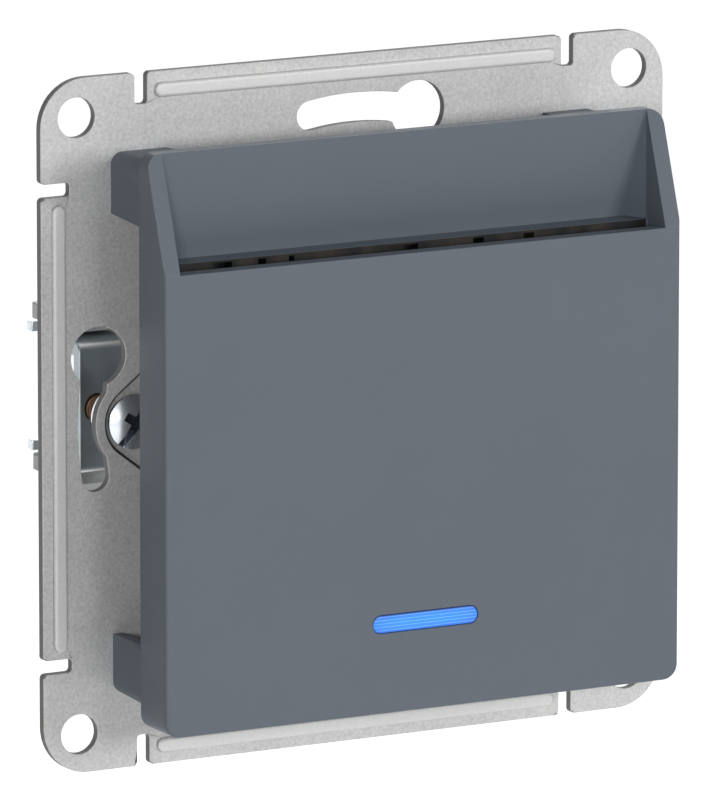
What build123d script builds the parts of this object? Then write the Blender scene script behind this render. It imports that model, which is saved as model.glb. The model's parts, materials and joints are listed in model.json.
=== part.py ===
from build123d import *
import os
from math import cos, radians, sin, sqrt, tan

# Hotel key card switch for a 60 mm wall box, in millimetres.
# X is right as seen from the room, Y goes into the wall, Z is up.
# The origin is the middle of the support plate's back face, which lies on the wall.
# "Forward" sizes are measured from that face towards the room, so the box behind is negative.

# Running and seating gaps
run_gap = 0.05
seat_gap = 0.1
overrun = 1.0

# Support plate
plate_side = 71.0
plate_thick = 1.0
plate_corner_r = 5.0
corner_pitch = 63.0
corner_hole_r = 2.05
notch_width = 1.4
notch_depth = 3.2
notch_offset = 24.3
notch_inner_r = 0.4
notch_outer_r = 0.5
bead_inset = 1.9
bead_length = 45.6
bead_width = 1.5
bead_height = 0.45
bead_round_share = 0.8
bead_groove_depth = 0.4
box_screw_circle_r = 30.0
keyhole_width = 3.05
keyhole_head_r = 3.05
keyhole_head_angle = 13.6
keyhole_end_angle = 10.0
plate_opening_x = 22.0
plate_opening_margin = 2.0
opening_corner_r = 2.0

# Pockets in the plate for the claw screws
recess_depth = 0.9
recess_nose_r = 3.75
recess_nose_inset = 0.6
recess_flank_angle = 38.0
recess_end_inset = 3.6
recess_bridge = 1.15
recess_back_wall = 0.3
crease_width = 0.2
crease_depth = 0.4

# Front cover
cover_side = 58.5
cover_rim = 10.3
cover_face = 15.9
cover_corner_r = 1.6
cover_edge_r = 0.35
cover_wall = 1.75
cover_face_wall = 1.7
lip_z = 17.65
ledge_z = 18.05
ledge_back = 9.6
ledge_thick = 2.0
ledge_skin = 0.25
slot_depth = 2.0
funnel_wall = 1.5
cheek_top_step = 0.05
facet_width = 1.25
leg_outer = 27.7
leg_length = 6.2
leg_wall = 1.0
leg_corner_r = 1.3
leg_draft = 2.0
peg_place = 24.7
peg_boss_r = 2.2
peg_r = 1.5
peg_length = 3.0
lens_z = -20.0
lens_length = 12.1
lens_height = 1.95
# Gaps between the ribs behind the card slot: places and widths along the half pocket
rib_gap_place_shares = (-0.76, -0.60, -0.48, -0.02, 0.29, 0.50)
rib_gap_width_shares = (0.075, 0.033, 0.022, 0.12, 0.045, 0.045)
rib_gap_depth = 1.6

# Card guide behind the pocket
guide_half_x = 20.5
guide_low_z = -25.5
guide_high_z = 16.0
guide_wall = 1.4
guide_front_thick = 1.5
pocket_floor_drop = 2.0
pocket_floor_thick = 1.2
pad_length_x = 7.3
pad_length_z = 6.0
pad_thick = 2.0
chassis_screw_x = 16.5
chassis_screw_z = 8.0
ear_thick = 1.2
ear_half_height = 3.2
ear_back = 2.6

# Card lever, a bell crank on a cross pin
lever_pivot_f = 4.5
lever_pivot_z = -14.0
lever_half = 4.2
lever_hub_r = 1.9
toe_radius = 8.6
toe_thick = 1.6
toe_rest_angle = 15.0
lever_travel = 34.0
finger_radius = 3.2
finger_thick = 1.2
pin_r = 1.0
push_gap = 0.08

# Plunger
plunger_drop = 3.4
plunger_r = 1.3
plunger_collar_r = 2.2
plunger_collar_thick = 1.0
plunger_tube_wall = 1.0
plunger_tube_length = 2.4

# Base housing
boss_gap = 0.3
plunger_margin = 4.6
housing_depth = 21.0
housing_chamfer = 5.8
housing_wall = 1.6
housing_edge_r = 0.8
boss_r = 2.6
cap_thick = 1.5
cap_half_x = 13.5
cap_side_gap = 0.4
cap_drop = 0.2
cap_rib_width = 2.0
cap_rib_inner_x = 3.2
cap_rib_outer_x = 7.0
wing_gap_half = 7.05
wing_thick = 1.65
wing_length = 5.1
wing_start = 11.0
wing_corner_r = 0.9

# Contacts
bar_thick = 0.8
bar_width = 5.0
bar_rear_gap = 0.9
riser_forward = -4.1
rocker_forward = -6.7
rocker_thick = 0.8
rocker_width = 5.0
rocker_low_arm = 7.4
rocker_contact_arm = 7.5
rocker_end_margin = 1.2
rocker_tip_margin = 1.7
rocker_travel = 14.9
rocker_barrel_r = 1.6
rocker_pin_r = 0.8
rocker_pin_back = 1.85
rivet_r = 1.4
rivet_height = 0.8
bracket_ear_thick = 0.6
bracket_ear_half = 1.7
band_half = 2.0

# Terminals
terminal_inset = 5.5
terminal_half = 3.1
terminal_wall = 1.0
terminal_front = 5.2
terminal_back_v = 7.7
clamp_thick = 0.35
clamp_width = 5.0
clamp_rear_inset = 1.0
clamp_front_f = 5.6
clamp_leg_v = 7.2
clamp_knee_v = 5.0
clamp_tip_inset = 4.0
clamp_tip_v = 0.4
clamp_bend_r = 1.0
wire_hole_r = 1.35
wire_hole_x = 1.65
wire_hole_v = 1.5
button_half_x = 2.0
button_near_v = 3.4
button_far_v = 5.8
button_nose_f = 9.6
button_shoulder = 0.5
button_shoulder_thick = 1.5

# Springs and their wire
wire_r = 0.2
rocker_spring_r = 1.6
rocker_spring_turns = 7
lever_spring_r = 1.6
lever_spring_turns = 3
spring_seat_r = 2.3
spring_seat_height = 1.8
spring_spigot_r = 1.1
spring_spigot_height = 2.0

# Spreader claws
claw_gap = 0.5
claw_screw_inner = 3.7
claw_hole_r = 2.45
claw_thick = 1.4
claw_half_z = 6.7
claw_bend_r = 0.75
claw_web_outer = 2.05
claw_neck_inset = 0.8
claw_tooth_outer = 1.05
claw_rear_proud = 0.3
claw_tooth_length = 1.2
claw_tooth_thick = 1.05
claw_start_gap = 1.3
claw_straight = 1.8
claw_foot = 4.3
claw_screw_r = 1.45
claw_screw_inset = 6.8
head_seat_r = 3.2
head_r = 2.8
head_side = 0.3
head_dome = 0.85
driver_slot_width = 0.75
driver_slot_length = 4.2
driver_slot_depth = 1.3
collar_thick = 1.2
collar_r = 2.9
claw_tilt = 12.0
claw_draw = 3.0

# Chassis screws
screw_r = 1.25
screw_head_r = 2.5
screw_head_height = 1.6
screw_length = 12.0
screw_slot_width = 0.8
screw_slot_depth = 0.9

# Indicator
board_forward = 5.6
board_thick = 1.6
board_low_drop = 3.9
board_high_drop = 1.0
board_pin_edge = 2.0
board_pin_x = 7.0
board_pin_drop = 0.9
board_pin_r = 0.5
board_pin_proud = 0.4
led_r = 1.5
led_height = 2.0
led_base = 0.6
resistor_x = 4.6
resistor_rise = 1.1
resistor_length = 3.2
resistor_width = 1.6
resistor_height = 0.6
guide_flange_length = 14.4
guide_flange_height = 3.8
guide_flange_thick = 0.9
light_stem_length = 9.0
light_stem_height = 1.6
lens_proud = 0.05

# Leaf springs that press the card forward
leaf_x = 13.0
leaf_width = 4.0
leaf_thick = 0.3
leaf_half_window = 9.0
leaf_half_bow = 8.6
leaf_end = 11.8
leaf_reach = 0.9
leaf_stud_z = 10.6
leaf_stud_r = 0.8
leaf_stud_height = 0.9

# Places worked out from the sizes above
cover_half = cover_side / 2
pocket_half = cover_half - cover_wall
slot_front = cover_face - cover_face_wall
slot_rear = slot_front - slot_depth
funnel_top = cover_rim + funnel_wall
funnel_lean = (funnel_top - ledge_back) / (cover_half - ledge_z)
cheek_top_drop = cover_face - funnel_top - cheek_top_step
cheek_lean = cheek_top_drop / (cover_half - lip_z)
guide_front_back = slot_rear - guide_front_thick
plunger_z = lever_pivot_z - plunger_drop
pocket_floor_z = lever_pivot_z - pocket_floor_drop
housing_half_x = chassis_screw_x + boss_r + boss_gap + housing_wall
housing_half_z = plunger_margin - plunger_z
plate_opening_z = 2 * (housing_half_z - plate_opening_margin)
terminal_x = chassis_screw_x - terminal_inset
wing_reach_x = housing_half_x + wing_length
claw_inner_x = housing_half_x + claw_gap
claw_x = claw_inner_x + claw_screw_inner
claw_web_x = claw_x + claw_web_outer
claw_neck_x = claw_x - claw_neck_inset
claw_tooth_x = claw_x + claw_tooth_outer
recess_nose_x = claw_x - recess_nose_inset
recess_end_x = claw_x - recess_end_inset
bar_outer_z = housing_half_z - housing_wall - seat_gap
bar_face_z = bar_outer_z - bar_thick
cap_half_z = housing_half_z - housing_wall - cap_side_gap
rear_inner = housing_wall - housing_depth
bar_end = housing_depth - housing_wall - bar_rear_gap
clamp_rear_f = bar_end - clamp_rear_inset
clamp_tip_f = bar_end - clamp_tip_inset
spring_seat_f = housing_depth - housing_wall - spring_seat_height
spring_spigot_f = spring_seat_f - spring_spigot_height
half_finger_swing = lever_travel / 2
plunger_front = (lever_pivot_f + finger_radius * sin(radians(half_finger_swing))
                 - finger_thick / 2 - push_gap)
plunger_rear = rocker_forward + run_gap
plunger_travel = 2 * finger_radius * sin(radians(half_finger_swing))
rocker_pin_z = plunger_z + rocker_low_arm
rocker_pin_f = rocker_forward - rocker_pin_back
cap_front = -cap_drop
cap_back = cap_front - cap_thick
board_high_z = plunger_z - board_high_drop
board_low_z = lens_z - board_low_drop
board_width = 2 * (board_pin_x + board_pin_edge)
board_pin_z = board_high_z - board_pin_drop
recess_floor = plate_thick - recess_depth
head_centre_f = recess_floor + sqrt(head_seat_r**2 - claw_hole_r**2)
ball_r = head_seat_r - run_gap
seat_side = head_centre_f - sqrt(ball_r**2 - head_r**2)
seat_shank = head_centre_f - sqrt(ball_r**2 - claw_screw_r**2)
seat_middle_r = (head_r + claw_screw_r) / 2
seat_middle = head_centre_f - sqrt(ball_r**2 - seat_middle_r**2)
swing = radians(claw_tilt)
collar_clear = head_centre_f + recess_depth + seat_gap + collar_r * sin(swing)
collar_forward = head_centre_f - collar_clear / cos(swing)
claw_forward = collar_forward - collar_thick - claw_draw - claw_start_gap
claw_rear = -housing_depth - claw_rear_proud
claw_taper_start = claw_forward - claw_straight
claw_taper_end = claw_rear + claw_foot
claw_screw_end = claw_rear + claw_screw_inset
toe_window_half = lever_half + 2 * seat_gap
lever_spring_length = 2 * wire_r * (lever_spring_turns + 1)
lever_spring_room = lever_spring_length + 2 * wire_r + 2 * seat_gap
toe_tip_r = toe_thick / 2
toe_rest_z = lever_pivot_z + toe_radius * sin(radians(toe_rest_angle))
toe_low_z = lever_pivot_z + toe_radius * sin(radians(toe_rest_angle - lever_travel))
collar_middle = cap_back - run_gap - plunger_collar_thick / 2
terminals = {
    "live": (-terminal_x, -1),
    "load": (0, 1),
    "neutral": (terminal_x, -1),
}
sides = {"left": -1, "right": 1}
keyhole_arc = CenterArc(
    (0, 0), box_screw_circle_r, 90 - keyhole_head_angle, keyhole_head_angle + keyhole_end_angle
)

os.makedirs("parts", exist_ok=True)


def wall_plane(forward):
    """Plane parallel to the wall: right and up, extruding towards the room."""
    return Plane.XZ.offset(forward)


def side_plane(right):
    """Upright plane square to the wall: forward and up, extruding to the left."""
    return Plane(origin=(right, 0, 0), x_dir=(0, -1, 0), z_dir=(-1, 0, 0))


def level_plane(height):
    """Level plane: right and forward, extruding downwards."""
    return Plane(origin=(0, 0, height), x_dir=(1, 0, 0), z_dir=(0, 0, -1))


def finish(part, name):
    """Label a finished piece and write it."""
    part.part.label = name
    export_step(part.part, f"parts/{name}.step")


def rectangle_between(x_low, x_high, z_low, z_high, mode=Mode.ADD):
    """Rectangle in the open sketch, given by its four sides."""
    with Locations(((x_low + x_high) / 2, (z_low + z_high) / 2)):
        Rectangle(x_high - x_low, z_high - z_low, mode=mode)


def recess_shape(grow, mode=Mode.ADD):
    """Both claw pockets: a round nose with two flanks that open inwards, grown all round."""
    radius = recess_nose_r + grow
    flank = radians(recess_flank_angle)
    reach = recess_nose_x - recess_end_x
    touch_x = recess_nose_x + radius * sin(flank)
    touch_z = radius * cos(flank)
    end_z = (radius + reach * sin(flank)) / cos(flank)
    for side in sides.values():
        with Locations((side * recess_nose_x, 0)):
            Circle(radius, mode=mode)
        Polygon(
            (side * touch_x, touch_z),
            (side * recess_end_x, end_z),
            (side * recess_end_x, -end_z),
            (side * touch_x, -touch_z),
            align=None,
            mode=mode,
        )


def seat_height(sign, v):
    """Height of a point v inside the terminal's bar, at the top (1) or bottom (-1)."""
    return sign * (bar_face_z - v)


# Support plate: pressed steel with keyholes, corner holes, stiffening beads and claw pockets
with BuildPart() as support_plate:
    with BuildSketch(wall_plane(0)) as plate_outline:
        RectangleRounded(plate_side, plate_side, plate_corner_r)
        with PolarLocations(0, 4):
            with Locations((notch_offset, plate_side / 2), (-notch_offset, plate_side / 2)):
                RectangleRounded(
                    notch_width, 2 * notch_depth, notch_inner_r, mode=Mode.SUBTRACT
                )
        fillet(
            [
                corner
                for corner in plate_outline.vertices()
                if max(abs(corner.X), abs(corner.Y)) > plate_side / 2 - notch_inner_r
                and min(abs(corner.X), abs(corner.Y)) < notch_offset + notch_width
            ],
            radius=notch_outer_r,
        )
        with GridLocations(corner_pitch, corner_pitch, 2, 2):
            Circle(corner_hole_r, mode=Mode.SUBTRACT)
        with PolarLocations(0, 4):
            SlotArc(keyhole_arc, keyhole_width, mode=Mode.SUBTRACT)
            with Locations(keyhole_arc @ 0):
                Circle(keyhole_head_r, mode=Mode.SUBTRACT)
        recess_shape(recess_bridge)
        RectangleRounded(
            plate_opening_x, plate_opening_z, opening_corner_r, mode=Mode.SUBTRACT
        )
        with GridLocations(2 * chassis_screw_x, 2 * chassis_screw_z, 2, 2):
            Circle(screw_r + run_gap, mode=Mode.SUBTRACT)
        with GridLocations(2 * peg_place, 2 * peg_place, 2, 2):
            Circle(peg_r + run_gap, mode=Mode.SUBTRACT)
    extrude(amount=plate_thick)
    with BuildSketch(wall_plane(plate_thick)):
        with PolarLocations(plate_side / 2 - bead_inset, 4):
            SlotOverall(bead_length, bead_width, rotation=90)
    extrude(amount=bead_height)
    fillet(support_plate.edges().group_by(Axis.Y)[0], radius=bead_height * bead_round_share)
    with BuildSketch(wall_plane(0)):
        with PolarLocations(plate_side / 2 - bead_inset, 4):
            SlotOverall(bead_length - bead_width / 2, bead_width / 2, rotation=90)
    extrude(amount=bead_groove_depth, mode=Mode.SUBTRACT)
    with BuildSketch(wall_plane(0)):
        recess_shape(recess_back_wall)
        Rectangle(2 * recess_end_x, plate_side, mode=Mode.SUBTRACT)
    extrude(amount=-recess_depth)
    with BuildSketch(wall_plane(plate_thick)):
        recess_shape(0)
    extrude(amount=-recess_depth, mode=Mode.SUBTRACT)
    with BuildSketch(wall_plane(recess_floor)):
        recess_shape(0)
        recess_shape(-crease_width, mode=Mode.SUBTRACT)
    extrude(amount=-crease_depth, mode=Mode.SUBTRACT)
    with BuildSketch(wall_plane(plate_thick)):
        with GridLocations(2 * claw_x, 0, 2, 1):
            Circle(claw_hole_r)
    extrude(amount=-2 * plate_thick, mode=Mode.SUBTRACT)
finish(support_plate, "support_plate")

# Base housing: the moulding in the wall box, with terminal chambers and guide wings for the claws
with BuildPart() as base_housing:
    with BuildSketch(wall_plane(-housing_depth)) as housing_outline:
        Rectangle(2 * housing_half_x, 2 * housing_half_z)
        chamfer(housing_outline.vertices(), housing_chamfer)
    extrude(amount=housing_depth)
    fillet(base_housing.edges().group_by(Axis.Y)[-1], radius=housing_edge_r)
    with BuildSketch(wall_plane(-housing_depth)):
        for turn in (1, -1):
            height = turn * (wing_gap_half + wing_thick / 2)
            rectangle_between(
                -wing_reach_x, wing_reach_x, height - wing_thick / 2, height + wing_thick / 2
            )
    extrude(amount=housing_depth - wing_start)
    fillet(
        [
            edge
            for edge in base_housing.edges().filter_by(Axis.Z)
            if abs(edge.center().X) > housing_half_x + overrun
            and edge.center().Y > housing_depth - overrun
        ],
        radius=wing_corner_r,
    )
    with BuildSketch(wall_plane(0)) as housing_hollow:
        Rectangle(2 * (housing_half_x - housing_wall), 2 * (housing_half_z - housing_wall))
        chamfer(housing_hollow.vertices(), housing_chamfer)
    extrude(amount=rear_inner, mode=Mode.SUBTRACT)
    with BuildSketch(wall_plane(-housing_depth)):
        with GridLocations(2 * chassis_screw_x, 2 * chassis_screw_z, 2, 2):
            Circle(boss_r)
    extrude(amount=housing_depth)
    with BuildSketch(wall_plane(-housing_depth)):
        for sign, inner_x in ((-1, cap_rib_inner_x), (1, cap_rib_outer_x)):
            for side in sides.values():
                rib_x = side * (inner_x + cap_rib_width / 2)
                rib_z = sign * (housing_half_z - housing_wall - cap_rib_width / 2)
                with Locations((rib_x, rib_z)):
                    Rectangle(cap_rib_width, cap_rib_width)
    extrude(amount=housing_depth + cap_back)
    for place_x, sign in terminals.values():
        chamber_outer = terminal_half + terminal_wall
        with BuildSketch(wall_plane(rear_inner)):
            rectangle_between(
                place_x - chamber_outer,
                place_x + chamber_outer,
                *sorted((sign * bar_outer_z, seat_height(sign, terminal_back_v + terminal_wall))),
            )
            rectangle_between(
                place_x - terminal_half,
                place_x + terminal_half,
                *sorted((sign * bar_outer_z, seat_height(sign, terminal_back_v))),
                mode=Mode.SUBTRACT,
            )
        extrude(amount=-terminal_front - rear_inner)
        with BuildSketch(wall_plane(-housing_depth)):
            with Locations((place_x, seat_height(sign, wire_hole_v))):
                with GridLocations(2 * wire_hole_x, 0, 2, 1):
                    Circle(wire_hole_r)
            rectangle_between(
                place_x - button_half_x - seat_gap,
                place_x + button_half_x + seat_gap,
                *sorted((
                    seat_height(sign, button_near_v - seat_gap),
                    seat_height(sign, button_far_v + seat_gap),
                )),
            )
        extrude(amount=housing_wall, mode=Mode.SUBTRACT)
    with BuildSketch(wall_plane(rear_inner)):
        with Locations((0, plunger_z)):
            Circle(spring_seat_r)
    extrude(amount=-spring_seat_f - rear_inner)
    with BuildSketch(wall_plane(-spring_seat_f)):
        with Locations((0, plunger_z)):
            Circle(spring_spigot_r)
    extrude(amount=spring_seat_f - spring_spigot_f)
    with BuildSketch(wall_plane(0)):
        with GridLocations(2 * chassis_screw_x, 2 * chassis_screw_z, 2, 2):
            Circle(screw_r + run_gap)
    extrude(amount=-screw_length - seat_gap, mode=Mode.SUBTRACT)
finish(base_housing, "base_housing")

# Mechanism cap: closes the housing's front and guides the plunger
with BuildPart() as mechanism_cap:
    with BuildSketch(wall_plane(cap_back)):
        Rectangle(2 * cap_half_x, 2 * cap_half_z)
        with GridLocations(2 * board_pin_x, 0, 2, 1):
            with Locations((0, board_pin_z)):
                Circle(board_pin_r + seat_gap, mode=Mode.SUBTRACT)
    extrude(amount=cap_thick)
    with BuildSketch(wall_plane(cap_front)):
        with Locations((0, plunger_z)):
            Circle(plunger_r + run_gap + plunger_tube_wall)
    extrude(amount=plunger_tube_length)
    with BuildSketch(wall_plane(cap_back)):
        with Locations((0, plunger_z)):
            Circle(plunger_r + run_gap)
    extrude(amount=cap_thick + plunger_tube_length, mode=Mode.SUBTRACT)
finish(mechanism_cap, "mechanism_cap")

# Plunger: carries the lever's push through the cap to the rocker
with BuildPart() as plunger:
    with BuildSketch(side_plane(0)) as plunger_profile:
        with Locations(((plunger_front + plunger_rear) / 2, plunger_z)):
            SlotOverall(plunger_front - plunger_rear, 2 * plunger_r)
        with Locations((collar_middle, plunger_z + plunger_collar_r / 2)):
            Rectangle(plunger_collar_thick, plunger_collar_r)
        with Locations(((plunger_front + plunger_rear) / 2, plunger_z - plunger_collar_r / 2)):
            Rectangle(2 * plunger_front - 2 * plunger_rear, plunger_collar_r, mode=Mode.SUBTRACT)
    revolve(axis=Axis((0, 0, plunger_z), (0, 1, 0)))
finish(plunger, "plunger")

# Card guide: the back wall of the pocket, on a frame that stands on the plate
with BuildPart() as card_guide:
    with BuildSketch(wall_plane(plate_thick)):
        rectangle_between(-guide_half_x, guide_half_x, guide_low_z, guide_high_z)
        rectangle_between(
            guide_wall - guide_half_x,
            guide_half_x - guide_wall,
            guide_low_z + guide_wall,
            guide_high_z - guide_wall,
            mode=Mode.SUBTRACT,
        )
    extrude(amount=guide_front_back - plate_thick)
    with BuildSketch(wall_plane(guide_front_back)):
        rectangle_between(
            -pocket_half + 2 * seat_gap,
            pocket_half - 2 * seat_gap,
            pocket_floor_z - pocket_floor_thick,
            ledge_z - ledge_thick - seat_gap,
        )
        rectangle_between(-guide_half_x, guide_half_x, guide_low_z, pocket_floor_z)
    extrude(amount=guide_front_thick)
    with BuildSketch(wall_plane(slot_rear)):
        rectangle_between(
            -pocket_half + 2 * seat_gap,
            pocket_half - 2 * seat_gap,
            pocket_floor_z - pocket_floor_thick,
            pocket_floor_z,
        )
    extrude(amount=slot_depth - 2 * seat_gap)
    with BuildSketch(wall_plane(guide_front_back)):
        rectangle_between(
            -toe_window_half, toe_window_half, toe_low_z - toe_thick, toe_rest_z + toe_thick
        )
        with Locations((0, lens_z)):
            Rectangle(guide_flange_length, light_stem_height + toe_tip_r)
        for side in sides.values():
            with Locations((side * leaf_x, 0)):
                Rectangle(leaf_width + 2 * seat_gap, 2 * leaf_half_window)
    extrude(amount=guide_front_thick + slot_depth, mode=Mode.SUBTRACT)
    with BuildSketch(wall_plane(plate_thick)):
        for side in sides.values():
            for turn in (1, -1):
                pad_x = side * (guide_half_x - pad_length_x / 2)
                with Locations((pad_x, turn * chassis_screw_z)):
                    Rectangle(pad_length_x, pad_length_z)
        with GridLocations(2 * chassis_screw_x, 2 * chassis_screw_z, 2, 2):
            Circle(screw_r + run_gap, mode=Mode.SUBTRACT)
    extrude(amount=pad_thick)
    with BuildSketch(side_plane(0)):
        rectangle_between(
            lever_pivot_f - ear_back,
            guide_front_back,
            lever_pivot_z - ear_half_height,
            lever_pivot_z + ear_half_height,
        )
        with Locations((lever_pivot_f, lever_pivot_z)):
            Circle(pin_r + run_gap, mode=Mode.SUBTRACT)
    extrude(amount=toe_window_half + ear_thick, both=True)
    with BuildSketch(side_plane(0)):
        rectangle_between(
            lever_pivot_f - ear_back - overrun,
            guide_front_back,
            lever_pivot_z - ear_half_height - overrun,
            lever_pivot_z + ear_half_height + overrun,
        )
    extrude(amount=toe_window_half, both=True, mode=Mode.SUBTRACT)
    with BuildSketch(wall_plane(guide_front_back)):
        for side in sides.values():
            with Locations((side * leaf_x, 0)):
                with GridLocations(0, 2 * leaf_stud_z, 1, 2):
                    Circle(leaf_stud_r)
    extrude(amount=-leaf_stud_height)
finish(card_guide, "card_guide")

# Card lever: the toe lies under the card's edge and the finger pushes the plunger
with BuildPart() as card_lever:
    with BuildSketch(side_plane(0)) as lever_profile:
        with Locations((lever_pivot_f, lever_pivot_z)):
            Circle(lever_hub_r)
            for angle, length, thick in (
                (toe_rest_angle, toe_radius, toe_thick),
                (half_finger_swing - 90, finger_radius, finger_thick),
            ):
                middle = (length / 2 * cos(radians(angle)), length / 2 * sin(radians(angle)))
                with Locations(middle):
                    SlotCenterToCenter(length, thick, rotation=angle)
            Circle(pin_r + run_gap, mode=Mode.SUBTRACT)
    extrude(amount=lever_half)
    extrude(lever_profile.sketch, amount=lever_spring_room - lever_half)
    toe_tip = (
        lever_pivot_f + toe_radius * cos(radians(toe_rest_angle)),
        lever_pivot_z + toe_radius * sin(radians(toe_rest_angle)),
    )
    with BuildSketch(side_plane(0)):
        with Locations(toe_tip):
            Circle(toe_thick / 2)
    extrude(amount=lever_half - seat_gap, both=True)
finish(card_lever, "card_lever")

# Lever pin
with BuildPart() as lever_pin:
    with BuildSketch(side_plane(0)):
        with Locations((lever_pivot_f, lever_pivot_z)):
            Circle(pin_r)
    extrude(amount=toe_window_half + ear_thick, both=True)
    chamfer(lever_pin.edges(), length=pin_r / 4)
finish(lever_pin, "lever_pin")


def coil(start, direction, radius, length, turns):
    """Round wire wound about an axis, from start along direction."""
    with BuildPart() as wound:
        with BuildLine() as path:
            Helix(length / turns, length, radius, center=start, direction=direction)
        with BuildSketch(Plane(origin=path.line @ 0, z_dir=path.line % 0)):
            Circle(wire_r)
        sweep(path=path.line)
    return wound


# Lever return spring, wound round the pin beside the hub
lever_spring_start = toe_window_half - 2 * wire_r
lever_spring = coil(
    (lever_spring_start, -lever_pivot_f, lever_pivot_z),
    (-1, 0, 0),
    lever_spring_r,
    lever_spring_length,
    lever_spring_turns,
)
finish(lever_spring, "lever_spring")

# Leaf springs that press the card against the cover's face
with BuildPart() as card_springs:
    for side in sides.values():
        leaf_seat = guide_front_back - leaf_thick / 2
        with BuildSketch(side_plane(side * leaf_x)):
            with BuildLine():
                Line((leaf_seat, -leaf_end), (leaf_seat, -leaf_half_bow))
                ThreePointArc(
                    (leaf_seat, -leaf_half_bow),
                    (slot_rear + leaf_reach, 0),
                    (leaf_seat, leaf_half_bow),
                )
                Line((leaf_seat, leaf_half_bow), (leaf_seat, leaf_end))
                offset(amount=leaf_thick / 2, side=Side.BOTH)
            make_face()
        extrude(amount=leaf_width / 2, both=True)
        with BuildSketch(wall_plane(guide_front_back)):
            with Locations((side * leaf_x, 0)):
                with GridLocations(0, 2 * leaf_stud_z, 1, 2):
                    Circle(leaf_stud_r + run_gap)
        extrude(amount=-leaf_stud_height, mode=Mode.SUBTRACT)
finish(card_springs, "card_springs")

# Feet of the two facets that close the ends of the funnel
with BuildSketch(Plane.XY.offset(ledge_z)) as facet_feet:
    for side in sides.values():
        Polygon(
            (side * pocket_half, -funnel_top),
            (side * (pocket_half - facet_width), -ledge_back),
            (side * pocket_half, -ledge_back),
            align=None,
        )

# Front cover: face, skirt, funnel, ribs behind the slot, corner legs and their pegs
with BuildPart() as front_cover:
    with BuildSketch(wall_plane(cover_rim)):
        RectangleRounded(cover_side, cover_side, cover_corner_r)
    extrude(amount=cover_face - cover_rim)
    fillet(front_cover.edges().group_by(Axis.Y)[0], radius=cover_edge_r)
    with BuildSketch(wall_plane(cover_rim)):
        Rectangle(2 * pocket_half, 2 * pocket_half)
    extrude(amount=slot_front - cover_rim, mode=Mode.SUBTRACT)
    with BuildSketch(side_plane(0)):
        Polygon(
            (ledge_back - funnel_wall, ledge_z - ledge_thick),
            (slot_rear, ledge_z - ledge_thick),
            (slot_rear, ledge_z),
            (ledge_back, ledge_z),
            (funnel_top, cover_half),
            (cover_rim, cover_half),
            (ledge_back - funnel_wall, ledge_z),
            align=None,
        )
    extrude(amount=pocket_half, both=True)
    leg_gap = 2 * (leg_outer - leg_length)
    leg_inner = 2 * (leg_outer - leg_wall)
    for turn, leg_end in ((1, funnel_top - funnel_wall / 2), (-1, slot_front)):
        with BuildSketch(wall_plane(plate_thick)):
            RectangleRounded(2 * leg_outer, 2 * leg_outer, leg_corner_r)
            Rectangle(leg_inner, leg_inner, mode=Mode.SUBTRACT)
            Rectangle(leg_gap, 2 * leg_outer, mode=Mode.SUBTRACT)
            Rectangle(2 * leg_outer, leg_gap, mode=Mode.SUBTRACT)
            with Locations((0, -turn * leg_outer)):
                Rectangle(2 * leg_outer, 2 * leg_outer, mode=Mode.SUBTRACT)
        extrude(amount=leg_end - plate_thick, taper=-leg_draft)
        with BuildSketch(wall_plane(plate_thick)):
            with Locations((peg_place, turn * peg_place), (-peg_place, turn * peg_place)):
                Circle(peg_boss_r)
        extrude(amount=leg_end - plate_thick)
    with BuildSketch(wall_plane(plate_thick)):
        with GridLocations(2 * peg_place, 2 * peg_place, 2, 2):
            Circle(peg_r)
    extrude(amount=-peg_length)
    with BuildSketch(side_plane(0)):
        Polygon(
            (ledge_back, ledge_z),
            (slot_rear, ledge_z),
            (slot_rear, lip_z),
            (cover_face + overrun, lip_z),
            (cover_face + overrun, cover_half + overrun),
            (funnel_top + overrun * funnel_lean, cover_half + overrun),
            align=None,
        )
    extrude(amount=pocket_half, both=True, mode=Mode.SUBTRACT)
    for foot in facet_feet.sketch.faces():
        tip_x = pocket_half if foot.center().X > 0 else -pocket_half
        loft(sections=[foot, Vertex(tip_x, -funnel_top, cover_half)])
    cheek_top = cover_face - cheek_top_drop - overrun * cheek_lean
    with BuildSketch(side_plane(0)):
        Polygon(
            (cover_face, lip_z),
            (cover_face + overrun, lip_z),
            (cover_face + overrun, cover_half + overrun),
            (cheek_top, cover_half + overrun),
            align=None,
        )
    extrude(amount=cover_half + overrun, both=True, mode=Mode.SUBTRACT)
    with BuildSketch(wall_plane(slot_rear)):
        for place, width in zip(rib_gap_place_shares, rib_gap_width_shares):
            with Locations((place * pocket_half, ledge_z - (ledge_thick + ledge_skin) / 2)):
                Rectangle(width * pocket_half, ledge_thick - ledge_skin)
    extrude(amount=-rib_gap_depth, mode=Mode.SUBTRACT)
    with BuildSketch(wall_plane(slot_front)):
        with Locations((0, lens_z)):
            SlotOverall(lens_length, lens_height)
    extrude(amount=cover_face_wall, mode=Mode.SUBTRACT)
finish(front_cover, "front_cover")

# Light guide: window in the face, flange behind it and stem back to the lamp
with BuildPart() as light_guide:
    with BuildSketch(wall_plane(slot_front - seat_gap - guide_flange_thick)):
        with Locations((0, lens_z)):
            SlotOverall(guide_flange_length - 2 * seat_gap, guide_flange_height)
    extrude(amount=guide_flange_thick)
    with BuildSketch(wall_plane(slot_front - seat_gap)):
        with Locations((0, lens_z)):
            SlotOverall(lens_length - 2 * seat_gap, lens_height - 2 * seat_gap)
    extrude(amount=cover_face_wall + seat_gap - lens_proud)
    stem_start = board_forward + board_thick + led_height + seat_gap
    with BuildSketch(wall_plane(stem_start)):
        with Locations((0, lens_z)):
            Rectangle(light_stem_length, light_stem_height)
    extrude(amount=slot_front - seat_gap - guide_flange_thick - stem_start)
finish(light_guide, "light_guide")

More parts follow.
